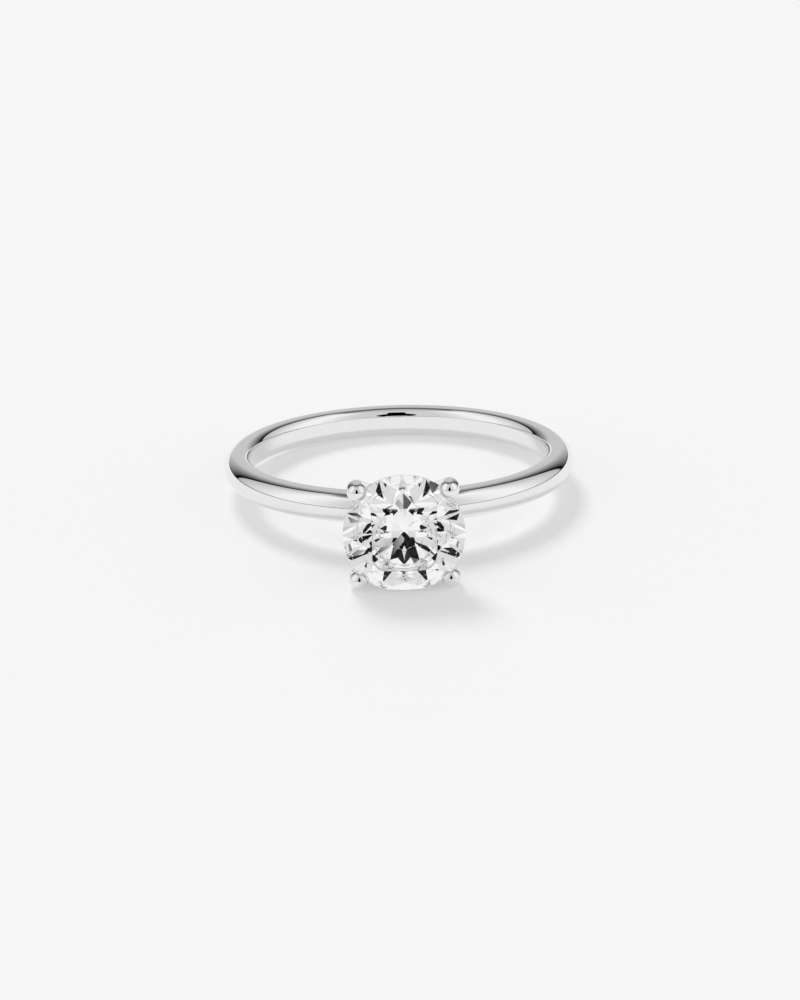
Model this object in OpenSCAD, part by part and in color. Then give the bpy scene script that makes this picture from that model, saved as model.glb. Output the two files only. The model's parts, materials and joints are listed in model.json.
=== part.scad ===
// Four-prong solitaire engagement ring: a comfort-fit band, a peg-set
// basket head and one round brilliant stone.
// Millimetres. The finger hole runs along Z with its middle at the origin,
// and the head points along -Y. Nothing on the ring moves.

/* [Band] */
// Inside diameter of the finger hole
bore_d = 17.3; // [14:0.1:22]
// Thickness of the band, from finger to outside
band_t = 1.55; // [1.3:0.05:2.5]
// Width of the band, along the finger
band_w = 1.85; // [1.6:0.05:3]

/* [Stone] */
// Diameter of the stone at its girdle
stone_d = 6.5; // [5:0.1:8]
// Height of the girdle above the middle of the finger hole
girdle_h = 14.15; // [13.5:0.05:17]
// Width of the table, as a share of the stone's diameter
table_share = 0.57; // [0.53:0.01:0.62]
// Slope of the crown's main facets, in degrees
crown_angle = 34.5; // [32:0.5:36]
// Slope of the pavilion's main facets, in degrees
pavilion_angle = 40.9; // [40:0.1:42]

/* [Prongs] */
// Diameter of the round bead at each prong's tip
bead_d = 1.06; // [1.06:0.02:1.4]
// Thickness of a prong where it bends over the girdle
prong_d = 1.05; // [0.7:0.05:1.05]
// Distance from the stone's edge out to the middle of a bead
bead_out = 0.2; // [0.1:0.05:0.4]
// Height of the middle of a bead above the girdle
bead_up = 0.2; // [0.1:0.05:0.4]

/* [Hidden] */
$fn = 96;

bore_r = bore_d / 2;
outer_r = bore_r + band_t;

// The band's section: a half-round outside of radius band_w / 2, a flat
// land that carries the finger, and a rounded comfort edge on each side.
dome_r = band_w / 2;
edge_r = band_t - dome_r;
land = dome_r - edge_r;

stone_r = stone_d / 2;
girdle_t = 0.034 * stone_d;
table_r = stone_r * table_share;
crown_t = (stone_r - table_r) * tan(crown_angle);
pavilion_t = stone_r * tan(pavilion_angle);
// Facets between the mains: where the stars and lower halves end
star_r = (table_r * cos(22.5) + stone_r) / 2;
star_angle = atan((crown_t - (stone_r - star_r * cos(22.5)) * tan(crown_angle))
                  / (star_r - table_r * cos(22.5)));
upper_angle = atan((stone_r - star_r * cos(22.5)) * tan(crown_angle)
                   / ((stone_r - star_r) * cos(11.25)));
lower_r = 0.23 * stone_r;
lower_angle = atan((stone_r - lower_r * cos(22.5)) * tan(pavilion_angle)
                   / ((stone_r - lower_r) * cos(11.25)));

// A prong: a tapered leg that leans out, a bend over the girdle, a bead.
bead_r = bead_d / 2;
prong_r = prong_d / 2;
foot_r = 0.88 * prong_r;
leg_lap = 0.1; // how far the leg runs up inside the bend
bend_r = 0.6;
lean = 34.5;  // the leg, in degrees out from the stone's axis
tuck = 25;    // the tip, in degrees in towards the stone's axis
bead_at = [stone_r + bead_out, girdle_h + bead_up];
bend_at = bead_at - bend_r * [cos(tuck), sin(tuck)];
leg_top = bend_at + bend_r * [cos(lean), -sin(lean)];
foot_h = outer_r;
leg_len = (leg_top[1] - foot_h) / cos(lean);
leg_r = 0.985 * prong_r;
seat_gap = 0.01;

// The base's peg sits in a hole drilled in the band.
peg_r = 0.45;
peg_end = outer_r - 1.0;
peg_gap = 0.01;  // clearance round the peg
hole_gap = 0.05; // clearance past the peg's end
base_top = outer_r + 0.75;
base_r = 1.3;
base_foot_r = 0.8;
base_rim = 0.3;  // width of the base's top edge, and depth of its dish

lower_rail_h = outer_r + 1.35;
lower_rail_r = 1.3;
lower_wire_r = 0.26;
gallery_h = girdle_h - 1.65;
gallery_r = stone_r - 1.35;
gallery_wire_r = 0.28;

// Stands a shape drawn upwards on +Z out along -Y, the way the head points.
module along_head() {
    rotate([90, 0, 0]) children();
}

// Puts a shape that sits at +X round the head's axis to one prong's place.
module at_prong(turn) {
    rotate([0, 0, turn]) children();
}

module band_section() {
    translate([bore_r + edge_r, 0]) intersection() {
        circle(r = dome_r);
        translate([0, -dome_r]) square([dome_r, band_w]);
    }
    for (side = [-1, 1]) translate([bore_r + edge_r, side * land]) circle(r = edge_r);
    translate([bore_r, -land]) square([edge_r, 2 * land]);
}

module band() {
    rotate_extrude() band_section();
}

module shank() {
    color("silver") difference() {
        band();
        along_head() translate([0, 0, peg_end - hole_gap])
            cylinder(r = peg_r + peg_gap, h = outer_r - peg_end + 1);
    }
}

module collet() {
    rotate_extrude() polygon([
        [0, foot_h - 0.5], [base_foot_r, foot_h - 0.5], [base_foot_r, foot_h + 0.1],
        [base_r, base_top - 0.1], [base_r, base_top], [base_r - base_rim, base_top],
        [0, base_top - base_rim]]);
}

module head_base() {
    color("lightgray") along_head() {
        difference() {
            collet();
            rotate([-90, 0, 0]) band();
            for (turn = [45 : 90 : 315]) at_prong(turn) prong_wire();
        }
        translate([0, 0, peg_end]) cylinder(r = peg_r, h = foot_h - peg_end);
    }
}

// A round wire bent into a ring and let into the four prongs.
module rail(rail_r, wire_r, h) {
    color("gainsboro") along_head() difference() {
        translate([0, 0, h]) rotate_extrude() translate([rail_r, 0]) circle(r = wire_r);
        for (turn = [45 : 90 : 315]) at_prong(turn) prong_wire();
    }
}

module lower_rail() {
    rail(lower_rail_r, lower_wire_r, lower_rail_h);
}

module gallery_rail() {
    rail(gallery_r, gallery_wire_r, gallery_h);
}

// One prong before its seats are cut, standing at +X of the head's axis.
module prong_wire() {
    translate([leg_top[0], 0, leg_top[1]]) rotate([0, 180 + lean, 0]) {
        translate([0, 0, -leg_lap]) cylinder(r1 = leg_r, r2 = foot_r, h = leg_len + leg_lap);
        translate([0, 0, leg_len]) sphere(r = foot_r);
    }
    translate([bend_at[0], 0, bend_at[1]]) rotate([90, 0, 0]) rotate([0, 0, -lean])
        rotate_extrude(angle = lean + tuck) translate([bend_r, 0]) circle(r = prong_r);
    translate([bead_at[0], 0, bead_at[1]]) sphere(r = bead_r);
}

// The round seat that the stone's crown, girdle and pavilion bear on.
module stone_seat() {
    g = girdle_t / 2;
    translate([0, 0, girdle_h]) rotate_extrude() polygon([
        [0, -g - pavilion_t - seat_gap], [stone_r + seat_gap, -g], [stone_r + seat_gap, g],
        [table_r + seat_gap, g + crown_t + seat_gap], [0, g + crown_t + seat_gap]]);
}

module prong(turn) {
    color("whitesmoke") along_head() difference() {
        at_prong(turn) prong_wire();
        stone_seat();
        rotate([-90, 0, 0]) band();
    }
}

// Cuts away all that lies outside a facet: turn is its place round the
// stone, slope its angle, and [r, h] a point that it passes through.
module facet(turn, slope, r, h) {
    rotate([0, 0, turn]) translate([r, 0, h]) rotate([0, slope, 0])
        translate([-stone_d, -stone_d, 0]) cube(2 * stone_d);
}

module diamond() {
    top = girdle_t / 2;
    color("azure") along_head() translate([0, 0, girdle_h]) rotate([0, 0, 22.5])
    difference() {
        translate([0, 0, -top - pavilion_t - 1])
            cylinder(r = stone_r, h = girdle_t + pavilion_t + crown_t + 1);
        for (k = [0 : 7]) {
            facet(45 * k, crown_angle, stone_r, top);
            facet(45 * k + 22.5, star_angle, table_r * cos(22.5), top + crown_t);
            facet(45 * k, 180 - pavilion_angle, stone_r, -top);
            for (half = [-11.25, 11.25]) {
                facet(45 * k + half, upper_angle, stone_r * cos(11.25), top);
                facet(45 * k + half, 180 - lower_angle, stone_r * cos(11.25), -top);
            }
        }
    }
}

shank();
head_base();
lower_rail();
gallery_rail();
prong(45);  // prong_upper_right
prong(135);  // prong_upper_left
prong(225);  // prong_lower_left
prong(315);  // prong_lower_right
diamond();
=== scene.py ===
import json
import math

import bmesh
import bpy
from mathutils import Matrix, Vector


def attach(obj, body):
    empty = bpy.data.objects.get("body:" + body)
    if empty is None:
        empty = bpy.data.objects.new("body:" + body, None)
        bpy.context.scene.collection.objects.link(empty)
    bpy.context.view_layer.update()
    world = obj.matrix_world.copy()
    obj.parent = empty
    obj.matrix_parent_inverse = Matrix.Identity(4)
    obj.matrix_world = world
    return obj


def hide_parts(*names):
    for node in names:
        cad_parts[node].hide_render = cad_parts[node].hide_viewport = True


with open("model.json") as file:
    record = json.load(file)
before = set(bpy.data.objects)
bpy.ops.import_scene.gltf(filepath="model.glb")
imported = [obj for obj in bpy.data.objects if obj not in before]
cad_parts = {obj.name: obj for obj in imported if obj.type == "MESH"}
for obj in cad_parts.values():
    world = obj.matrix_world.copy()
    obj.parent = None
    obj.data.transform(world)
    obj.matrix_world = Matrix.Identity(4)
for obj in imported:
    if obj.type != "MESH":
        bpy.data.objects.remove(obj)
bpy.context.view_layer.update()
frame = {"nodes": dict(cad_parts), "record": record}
scene = bpy.context.scene

MM = 0.001
TAU = math.tau

# ---------------------------------------------------------------- sizes, mm
# The same dimensions as the CAD part.
BORE_R = frame["record"]["mounts"][0]["dims"]["r_mm"]
BAND_T, BAND_W = 1.55, 1.85
OUTER_R = BORE_R + BAND_T
DOME_R = BAND_W / 2
EDGE_R = BAND_T - DOME_R
LAND = DOME_R - EDGE_R

STONE_R = 3.25
GIRDLE_H, GIRDLE_T = 14.15, 0.221
TABLE_R = 0.57 * STONE_R
CROWN, PAVILION = math.radians(34.5), math.radians(40.9)
CROWN_T = (STONE_R - TABLE_R) * math.tan(CROWN)
PAVILION_T = STONE_R * math.tan(PAVILION)

BEAD_R, PRONG_R = 0.53, 0.525
FOOT_R = 0.88 * PRONG_R
BEND_R = 0.6
LEAN, TUCK = math.radians(34.5), math.radians(25)
BEAD_OUT, BEAD_UP = 0.2, 0.2
BEAD_AT = (STONE_R + BEAD_OUT, GIRDLE_H + BEAD_UP)
SEAT_GAP = 0.01

PEG_R, PEG_GAP, HOLE_GAP = 0.45, 0.01, 0.05
PEG_END = OUTER_R - 1.0
BASE_TOP, BASE_R, BASE_FOOT_R = OUTER_R + 0.75, 1.3, 0.8
BASE_SINK, BASE_RIM, BASE_SOFT = 0.5, 0.3, 0.03  # foot inside the band, top rim, softened edge
RAILS = {"lower_rail": (1.3, 0.26, OUTER_R + 1.35),
         "gallery_rail": (STONE_R - 1.35, 0.28, GIRDLE_H - 1.65)}

# Head shapes are drawn standing on +Z and laid over so that +Z becomes -Y.
HEAD = Matrix(((1, 0, 0), (0, 0, -1), (0, 1, 0))).to_4x4()


# ---------------------------------------------------------------- camera
VIEW_UP, VIEW_TURN, VIEW_ROLL = map(math.radians, (15.93, -0.78, 1.45))
VIEW_DIST = 0.140
FOCAL = 2.389          # focal length over the picture's long side
AIM = (0.0014, 0.0394)  # how far the finger hole's middle sits from the picture's


def make_camera():
    cam = bpy.data.objects.new("camera", bpy.data.cameras.new("camera"))
    scene.collection.objects.link(cam)
    back = Vector((math.sin(VIEW_TURN) * math.cos(VIEW_UP),
                   -math.cos(VIEW_TURN) * math.cos(VIEW_UP), math.sin(VIEW_UP)))
    right = Vector((math.cos(VIEW_TURN), math.sin(VIEW_TURN), 0))
    up = back.cross(right)
    c, s = math.cos(VIEW_ROLL), math.sin(VIEW_ROLL)
    right, up = c * right - s * up, s * right + c * up
    place = back * VIEW_DIST
    target = (right * AIM[0] - up * AIM[1]) * (VIEW_DIST / FOCAL)
    z = (place - target).normalized()
    y = z.cross(right).normalized()
    x = y.cross(z)
    cam.matrix_world = Matrix.Translation(place) @ Matrix((x, y, z)).transposed().to_4x4()
    cam.data.lens = FOCAL * cam.data.sensor_width
    cam.data.clip_start, cam.data.clip_end = 0.005, 20
    scene.camera = cam


make_camera()


# ---------------------------------------------------------------- mesh tools
def new_object(name, bm):
    bmesh.ops.recalc_face_normals(bm, faces=bm.faces[:])
    mesh = bpy.data.meshes.new(name)
    bm.to_mesh(mesh)
    bm.free()
    obj = bpy.data.objects.new(name, mesh)
    scene.collection.objects.link(obj)
    return obj


def skin(name, rings, matrix=None, looped=False):
    """A closed surface over rings of points. Open ends are capped; a ring of
    one point closes an end to a tip."""
    bm = bmesh.new()
    rows = [[bm.verts.new(p) for p in ring] for ring in rings]
    pairs = list(zip(rows, rows[1:]))
    if looped:
        pairs.append((rows[-1], rows[0]))
    for a, b in pairs:
        n = max(len(a), len(b))
        for i in range(n):
            j = (i + 1) % n
            face = [a[i % len(a)], a[j % len(a)], b[j % len(b)], b[i % len(b)]]
            bm.faces.new(list(dict.fromkeys(face)))
    if not looped:
        for row in (rows[0], rows[-1]):
            if len(row) > 1:
                bm.faces.new(row)
    if matrix is not None:
        bm.transform(matrix)
    return new_object(name, bm)


def lathe(name, profile, steps, matrix=HEAD, looped=False):
    """Turns a profile of (radius, height) points in mm round +Z."""
    rings = []
    for r, h in profile:
        if r < 1e-6:
            rings.append([Vector((0, 0, h)) * MM])
        else:
            rings.append([Vector((r * math.cos(TAU * i / steps), r * math.sin(TAU * i / steps), h)) * MM
                          for i in range(steps)])
    return skin(name, rings, matrix, looped)


def arc(cx, cy, r, a0, a1, steps):
    """Points on an arc, angles in degrees."""
    return [(cx + r * math.cos(math.radians(a0 + (a1 - a0) * i / steps)),
             cy + r * math.sin(math.radians(a0 + (a1 - a0) * i / steps))) for i in range(steps + 1)]


def cut(obj, tool, operation="DIFFERENCE"):
    mod = obj.modifiers.new("cut", "BOOLEAN")
    mod.operation, mod.solver, mod.object = operation, "EXACT", tool
    bpy.context.view_layer.update()
    done = bpy.data.meshes.new_from_object(obj.evaluated_get(bpy.context.evaluated_depsgraph_get()))
    obj.modifiers.clear()
    old, obj.data = obj.data, done
    done.name = obj.name
    bpy.data.meshes.remove(old)


def smooth(obj, angle):
    obj.data.shade_smooth()
    obj.data.set_sharp_from_angle(angle=math.radians(angle))


def drop(*objs):
    for o in objs:
        mesh = o.data
        bpy.data.objects.remove(o)
        bpy.data.meshes.remove(mesh)


# ---------------------------------------------------------------- metal
def band_profile(n):
    """The band's closed section as (radius, height) points."""
    mid = BORE_R + EDGE_R
    pts = arc(mid, 0, DOME_R, -90, 90, 2 * n)
    pts += arc(mid, LAND, EDGE_R, 90, 180, n)[1:]
    pts += arc(mid, -LAND, EDGE_R, 180, 270, n)[:-1]
    return pts


def make_band(name, around, n):
    return lathe(name, band_profile(n), around, Matrix.Identity(4), looped=True)


FOOT_RINGS, LEG_RINGS, BEND_RINGS, BEAD_RINGS = 16, 24, 32, 48


def make_wire(name, turn):
    """One prong before its seats are cut: foot, leg, bend and bead."""
    spin = HEAD @ Matrix.Rotation(turn, 4, "Z")
    bend = (BEAD_AT[0] - BEND_R * math.cos(TUCK), BEAD_AT[1] - BEND_R * math.sin(TUCK))
    top = (bend[0] + BEND_R * math.cos(LEAN), bend[1] - BEND_R * math.sin(LEAN))
    leg = (top[1] - OUTER_R) / math.cos(LEAN)
    foot = (top[0] - leg * math.sin(LEAN), OUTER_R)
    steps = 72

    def ring(r, h, a, rad):
        if rad < 1e-6:
            return [Vector((r, 0, h)) * MM]
        return [Vector((r + rad * math.cos(t) * math.cos(a), rad * math.sin(t),
                        h - rad * math.cos(t) * math.sin(a))) * MM
                for t in (TAU * i / steps for i in range(steps))]

    rings = []
    for i in range(FOOT_RINGS + 1):
        t = math.radians(-90 + 90 * i / FOOT_RINGS)
        d = FOOT_R * math.sin(t)
        rings.append(ring(foot[0] + d * math.sin(LEAN), foot[1] + d * math.cos(LEAN), LEAN,
                          0 if i == 0 else FOOT_R * math.cos(t)))
    for i in range(1, LEG_RINGS + 1):
        k = i / LEG_RINGS
        rings.append(ring(foot[0] + (top[0] - foot[0]) * k, foot[1] + (top[1] - foot[1]) * k, LEAN,
                          FOOT_R + (PRONG_R - FOOT_R) * k))
    for i in range(1, BEND_RINGS + 1):
        a = LEAN - (LEAN + TUCK) * i / BEND_RINGS
        rings.append(ring(bend[0] + BEND_R * math.cos(a), bend[1] - BEND_R * math.sin(a), a, PRONG_R))
    wire = skin(name, rings, spin)
    ball = []
    for i in range(BEAD_RINGS + 1):
        t = math.radians(-90 + 180 * i / BEAD_RINGS)
        d = BEAD_R * math.sin(t)
        ball.append(ring(BEAD_AT[0] - d * math.sin(TUCK), BEAD_AT[1] + d * math.cos(TUCK), -TUCK,
                         0 if i in (0, BEAD_RINGS) else BEAD_R * math.cos(t)))
    bead = skin(name + "_bead", ball, spin)
    cut(wire, bead, "UNION")
    drop(bead)
    return wire


PRONGS = {"prong_upper_right": 45, "prong_upper_left": 135,
          "prong_lower_left": 225, "prong_lower_right": 315}

shank = make_band("band_of_ring", 512, 20)
wires = {n: make_wire(n + "_wire", math.radians(t)) for n, t in PRONGS.items()}

collet = lathe("head_collet", [
    (0, OUTER_R - BASE_SINK), (BASE_FOOT_R, OUTER_R - BASE_SINK), (BASE_FOOT_R, OUTER_R + 0.1),
    (BASE_R - BASE_SOFT, BASE_TOP - 0.14), (BASE_R, BASE_TOP - 0.08), (BASE_R, BASE_TOP - BASE_SOFT),
    (BASE_R - BASE_SOFT, BASE_TOP), (BASE_R - BASE_RIM, BASE_TOP), (0, BASE_TOP - BASE_RIM)], 128)
cut(collet, shank)
for w in wires.values():
    cut(collet, w)
peg = lathe("peg", [(0, PEG_END), (PEG_R, PEG_END), (PEG_R, OUTER_R), (0, OUTER_R)], 96)
cut(collet, peg, "UNION")

rails = {}
for name, (rail_r, wire_r, h) in RAILS.items():
    rails[name] = lathe(name + "_wire", arc(rail_r, h, wire_r, 0, 360, 40)[:-1], 192, looped=True)
    for w in wires.values():
        cut(rails[name], w)

HALF_GIRDLE = GIRDLE_T / 2
under, over = GIRDLE_H - HALF_GIRDLE, GIRDLE_H + HALF_GIRDLE
table_h = over + CROWN_T + SEAT_GAP
seat = lathe("seat", [(0, under - PAVILION_T - SEAT_GAP), (STONE_R + SEAT_GAP, under),
                      (STONE_R + SEAT_GAP, over), (TABLE_R + SEAT_GAP, table_h), (0, table_h)], 256)
for w in wires.values():
    cut(w, seat)
    cut(w, shank)
hole = lathe("hole", [(0, PEG_END - HOLE_GAP), (PEG_R + PEG_GAP, PEG_END - HOLE_GAP),
                      (PEG_R + PEG_GAP, OUTER_R + 1), (0, OUTER_R + 1)], 96)
cut(shank, hole)
drop(peg, seat, hole)


# ---------------------------------------------------------------- stone
def make_stone():
    """A round brilliant, cut facet by facet from a round blank, as it is
    really made: 8 mains, 8 stars, 16 upper halves and a table on the crown,
    8 mains and 16 lower halves on the pavilion."""
    t = math.tan
    c22, c11 = math.cos(math.radians(22.5)), math.cos(math.radians(11.25))
    star_r = (TABLE_R * c22 + STONE_R) / 2
    star = math.atan((CROWN_T - (STONE_R - star_r * c22) * t(CROWN)) / (star_r - TABLE_R * c22))
    upper = math.atan((STONE_R - star_r * c22) * t(CROWN) / ((STONE_R - star_r) * c11))
    low_r = 0.23 * STONE_R
    lower = math.atan((STONE_R - low_r * c22) * t(PAVILION) / ((STONE_R - low_r) * c11))
    cuts = []
    for k in range(8):
        cuts += [(45 * k, CROWN, STONE_R, HALF_GIRDLE),
                 (45 * k + 22.5, star, TABLE_R * c22, HALF_GIRDLE + CROWN_T),
                 (45 * k, math.pi - PAVILION, STONE_R, -HALF_GIRDLE)]
        for half in (-11.25, 11.25):
            cuts += [(45 * k + half, upper, STONE_R * c11, HALF_GIRDLE),
                     (45 * k + half, math.pi - lower, STONE_R * c11, -HALF_GIRDLE)]
    bottom, top = -HALF_GIRDLE - PAVILION_T - 1, HALF_GIRDLE + CROWN_T
    outline = [(0, bottom), (STONE_R, bottom), (STONE_R, top), (0, top)]
    blank = lathe("blank", outline, 256, Matrix.Identity(4))
    bm = bmesh.new()
    bm.from_mesh(blank.data)
    drop(blank)
    for turn, slope, r, h in cuts:
        a = math.radians(turn)
        out = Vector((math.sin(slope) * math.cos(a), math.sin(slope) * math.sin(a), math.cos(slope)))
        bmesh.ops.bisect_plane(bm, geom=bm.verts[:] + bm.edges[:] + bm.faces[:], dist=1e-9,
                               plane_co=Vector((r * math.cos(a), r * math.sin(a), h)) * MM, plane_no=out,
                               clear_outer=True)
        edges = [e for e in bm.edges if e.is_boundary]
        if edges:
            bmesh.ops.edgeloop_fill(bm, edges=edges)
    bmesh.ops.remove_doubles(bm, verts=bm.verts[:], dist=2e-7)
    bmesh.ops.dissolve_degenerate(bm, edges=bm.edges[:], dist=2e-7)
    place = Matrix.Translation((0, 0, GIRDLE_H * MM))
    bm.transform(HEAD @ place @ Matrix.Rotation(math.radians(22.5), 4, "Z"))
    return new_object("round_brilliant", bm)


stone = make_stone()


# ---------------------------------------------------------------- materials
def material(name):
    mat = bpy.data.materials.new(name)
    mat.use_nodes = True
    tree = mat.node_tree
    return mat, tree, tree.nodes["Principled BSDF"]


def noise(tree, scale, detail=2.0):
    coords = tree.nodes.new("ShaderNodeTexCoord")
    tex = tree.nodes.new("ShaderNodeTexNoise")
    tex.inputs["Scale"].default_value = scale
    tex.inputs["Detail"].default_value = detail
    tree.links.new(coords.outputs["Object"], tex.inputs["Vector"])
    return tex


def ramp(tree, source, stops):
    node = tree.nodes.new("ShaderNodeValToRGB")
    els = node.color_ramp.elements
    while len(els) < len(stops):
        els.new(0.5)
    for e, (pos, col) in zip(els, stops):
        e.position = pos
        e.color = (*col, 1) if isinstance(col, tuple) else (col, col, col, 1)
    tree.links.new(source, node.inputs["Fac"])
    return node


def white_gold():
    """Rhodium-plated white gold, mirror polished by hand: a faint change of
    tone and polish over a few millimetres."""
    mat, tree, bsdf = material("rhodium_white_gold")
    bsdf.inputs["Metallic"].default_value = 1.0
    tone = ramp(tree, noise(tree, 260).outputs["Fac"],
                [(0.3, (0.86, 0.86, 0.865)), (0.7, (0.89, 0.885, 0.88))])
    tree.links.new(tone.outputs["Color"], bsdf.inputs["Base Color"])
    polish = ramp(tree, noise(tree, 900, 4.0).outputs["Fac"], [(0.35, 0.012), (0.7, 0.03)])
    tree.links.new(polish.outputs["Color"], bsdf.inputs["Roughness"])
    return mat


def diamond():
    """Clear stone with a faint change of tint. Its outer surface reflects
    less than a real diamond's, so that the facets inside stay crisp."""
    mat, tree, bsdf = material("colourless_diamond")
    bsdf.inputs["Roughness"].default_value = 0.0
    bsdf.inputs["IOR"].default_value = 2.417
    bsdf.inputs["Specular Tint"].default_value = (0.06, 0.06, 0.06, 1)
    bsdf.inputs["Transmission Weight"].default_value = 1.0
    tint = ramp(tree, noise(tree, 420).outputs["Fac"],
                [(0.35, (0.985, 0.99, 1.0)), (0.65, (1.0, 0.995, 0.985))])
    tree.links.new(tint.outputs["Color"], bsdf.inputs["Base Color"])
    return mat


METAL, STONE = white_gold(), diamond()

pieces = {"shank": shank, "head_base": collet, **rails, **wires}
for node, obj in pieces.items():
    smooth(obj, 32)
    obj.data.materials.clear()
    obj.data.materials.append(METAL)
    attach(obj, "root")
    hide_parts(node)
smooth(stone, 3)
stone.data.materials.append(STONE)
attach(stone, "root")
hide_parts("diamond")


# ---------------------------------------------------------------- floor
def rest_slope():
    """How steeply the floor rises towards +Y when the ring lies on its lower
    prongs and the back of its band."""
    def points(node):
        return [(v.co.y, v.co.z) for v in frame["nodes"][node].data.vertices]
    prong, band = points("prong_lower_left"), points("shank")
    lo, hi = 0.0, 0.3
    for _ in range(40):
        k = (lo + hi) / 2
        if min(z - k * y for y, z in band) > min(z - k * y for y, z in prong):
            lo = k
        else:
            hi = k
    return k, min(z - k * y for y, z in prong)


SLOPE, FLOOR_Z = rest_slope()
TILT = Matrix.Rotation(math.atan(SLOPE), 4, "X")


PAPER, GLOW = 0.56, 0.382  # how much light the floor returns, and how much it gives
FLOOR_R = 6.0              # metres, so that its edge is far outside the picture


def make_floor():
    """A plain pale sheet, lit from below as well as by the studio, which keeps
    the ring's shadow soft. It is clear from below."""
    bm = bmesh.new()
    bmesh.ops.create_circle(bm, cap_ends=True, segments=128, radius=FLOOR_R)
    bm.transform(Matrix.Translation((0, 0, FLOOR_Z)) @ TILT)
    floor = new_object("floor", bm)
    if floor.data.polygons[0].normal.z < 0:
        floor.data.flip_normals()
    mat = bpy.data.materials.new("pale_floor")
    mat.use_nodes = True
    tree = mat.node_tree
    tree.nodes.clear()
    out = tree.nodes.new("ShaderNodeOutputMaterial")
    mix = tree.nodes.new("ShaderNodeMixShader")
    soft = tree.nodes.new("ShaderNodeBsdfDiffuse")
    soft.inputs["Color"].default_value = (PAPER, PAPER, PAPER, 1)
    glow = tree.nodes.new("ShaderNodeEmission")
    glow.inputs["Strength"].default_value = GLOW
    both = tree.nodes.new("ShaderNodeAddShader")
    clear = tree.nodes.new("ShaderNodeBsdfTransparent")
    side = tree.nodes.new("ShaderNodeNewGeometry")
    tree.links.new(soft.outputs[0], both.inputs[0])
    tree.links.new(glow.outputs[0], both.inputs[1])
    tree.links.new(side.outputs["Backfacing"], mix.inputs["Fac"])
    tree.links.new(both.outputs[0], mix.inputs[1])
    tree.links.new(clear.outputs[0], mix.inputs[2])
    tree.links.new(mix.outputs[0], out.inputs["Surface"])
    floor.data.materials.append(mat)


make_floor()


# ---------------------------------------------------------------- studio
LIGHT, BACKDROP = 0.96, 0.92
GAP = 46                       # the dark corner on each side, degrees from straight behind
WALL, SIDE_EDGE, SIDE_RISE = 0.65, 0.55, 0.5
CEILING_BACK, CEILING_FRONT, CEILING_FROM, CEILING_FULL = 0.15, 0.6, 62, 70
OPENING_DIM, SEAM_DARK = 0.3, 0.85
CAMERA_HALF, STAND_HALF, STAND_TOP = 17, 9, 52


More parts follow.
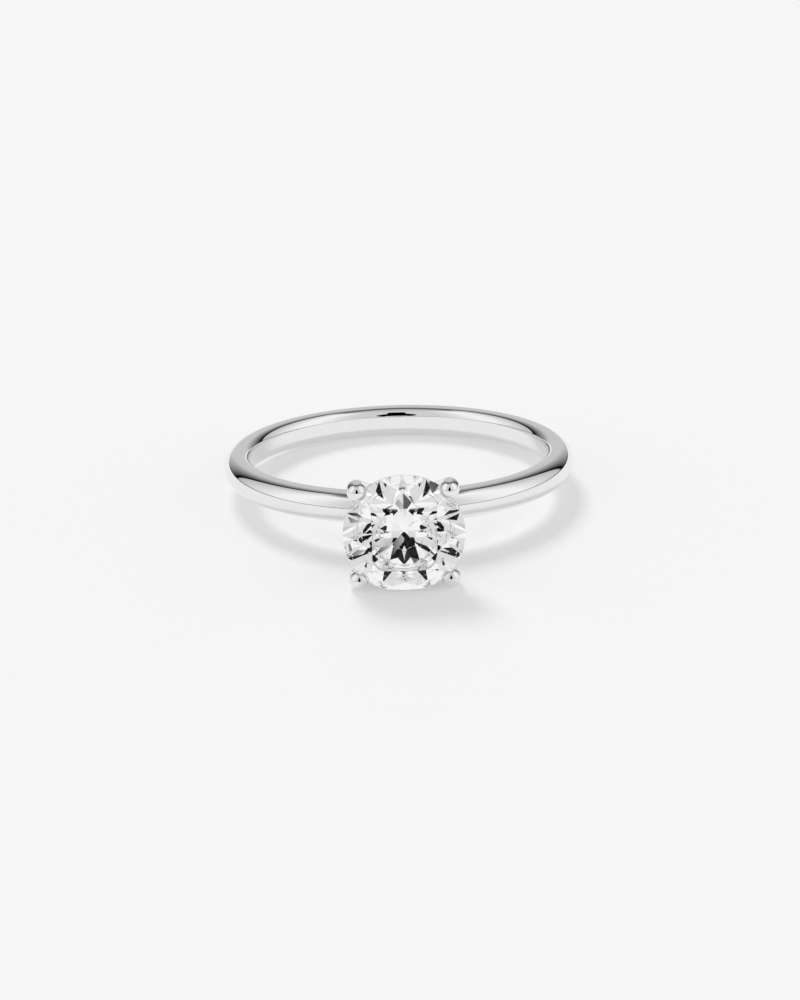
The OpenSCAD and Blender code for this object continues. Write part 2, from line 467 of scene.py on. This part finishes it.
def make_studio():
    """A white tent, the same on both sides: a back wall that shades off to a
    dark corner on the left and the right, a bright side light beyond each
    corner, a grey ceiling, a dark line where the tent meets the floor, and
    the dark camera in front. Angles are in degrees, as seen from the floor."""
    world = bpy.data.worlds.new("studio")
    scene.world = world
    world.use_nodes = True
    tree = world.node_tree
    tree.nodes.clear()
    link = tree.links.new

    def math_node(op, a, b=None, c=None):
        node = tree.nodes.new("ShaderNodeMath")
        node.operation = op
        for i, v in enumerate((a, b, c)):
            if v is None:
                continue
            if isinstance(v, (int, float)):
                node.inputs[i].default_value = v
            else:
                link(v, node.inputs[i])
        return node.outputs[0]

    def times(a, *rest):
        for b in rest:
            a = math_node("MULTIPLY", a, b)
        return a

    def fade(x, a, b, kind="SMOOTHSTEP"):
        """0 where x is at a, 1 at b; a may be above b."""
        node = tree.nodes.new("ShaderNodeMapRange")
        node.interpolation_type = kind
        for socket, value in zip(("From Min", "From Max", "To Min", "To Max"),
                                 (min(a, b), max(a, b), int(a > b), int(a < b))):
            node.inputs[socket].default_value = value
        link(x, node.inputs["Value"])
        return node.outputs["Result"]

    def blend(a, b, f):
        return math_node("MULTIPLY_ADD", math_node("SUBTRACT", b, a), f, a)

    coords = tree.nodes.new("ShaderNodeTexCoord")
    turn = tree.nodes.new("ShaderNodeVectorRotate")
    turn.rotation_type = "X_AXIS"
    turn.inputs["Angle"].default_value = -math.atan(SLOPE)
    link(coords.outputs["Generated"], turn.inputs["Vector"])
    split = tree.nodes.new("ShaderNodeSeparateXYZ")
    link(turn.outputs["Vector"], split.inputs[0])
    x, y, z = split.outputs
    deg = math.degrees(1)
    away = math_node("ABSOLUTE", times(math_node("ARCTAN2", x, y), deg))  # 0 behind the ring, 180 in front
    el = times(math_node("ARCSINE", z), deg)

    # walls: the back wall falls off to the corner, the side light rises from it
    wall = times(fade(away, GAP, 15, "LINEAR"), WALL)
    edge = times(fade(away, GAP + 2, GAP + 6), SIDE_EDGE)
    side = math_node("ADD", edge, times(fade(away, GAP + 2, 95, "LINEAR"), SIDE_RISE))
    # the tent's front is open and dimmer
    opening = math_node("SUBTRACT", 1, times(fade(away, 105, 150), OPENING_DIM))
    light = times(math_node("ADD", wall, side), opening)
    ceiling = blend(CEILING_BACK, CEILING_FRONT, fade(away, 60, 120))
    light = blend(light, ceiling, fade(el, CEILING_FROM, CEILING_FULL))
    # the dark line where the walls meet the floor
    seam = times(fade(el, -2, -1), fade(el, 3, 2), fade(away, 20, 35), SEAM_DARK)
    light = times(light, math_node("SUBTRACT", 1, seam))

    # the camera and its stand
    u = math_node("SUBTRACT", 180, away)
    v = math_node("SUBTRACT", el, math.degrees(VIEW_UP + math.atan(SLOPE)))
    reach = math_node("SQRT", math_node("ADD", times(u, u), times(v, v)))
    stand = times(fade(u, STAND_HALF, STAND_HALF - 1), fade(el, STAND_TOP, STAND_TOP - 2))
    black = math_node("MAXIMUM", fade(reach, CAMERA_HALF, CAMERA_HALF - 1), stand)
    light = times(light, math_node("SUBTRACT", 1, black))

    lit = tree.nodes.new("ShaderNodeBackground")
    link(light, lit.inputs["Color"])
    lit.inputs["Strength"].default_value = LIGHT
    plain = tree.nodes.new("ShaderNodeBackground")
    plain.inputs["Color"].default_value = (BACKDROP, BACKDROP, BACKDROP, 1)
    path = tree.nodes.new("ShaderNodeLightPath")
    mix = tree.nodes.new("ShaderNodeMixShader")
    link(path.outputs["Is Camera Ray"], mix.inputs["Fac"])
    link(lit.outputs[0], mix.inputs[1])
    link(plain.outputs[0], mix.inputs[2])
    out = tree.nodes.new("ShaderNodeOutputWorld")
    link(mix.outputs[0], out.inputs["Surface"])


make_studio()


KEY, KEY_SPREAD, KEY_FROM = 1.5, 22, (-0.3, 0.82, 1.0)


def make_key_light():
    """A soft lamp above, behind and a little to the left, which lays the
    ring's shadow towards the viewer."""
    sun = bpy.data.lights.new("key_light", "SUN")
    sun.energy, sun.angle = KEY, math.radians(KEY_SPREAD)
    obj = bpy.data.objects.new("key_light", sun)
    scene.collection.objects.link(obj)
    obj.matrix_world = TILT @ Vector(KEY_FROM).to_track_quat("Z", "Y").to_matrix().to_4x4()
    obj.visible_glossy = obj.visible_transmission = False


make_key_light()


scene.view_settings.view_transform = "Standard"
cycles = scene.cycles
cycles.max_bounces = 40
cycles.transmission_bounces = 36
cycles.glossy_bounces = 24
cycles.diffuse_bounces = 4
cycles.transparent_max_bounces = 12
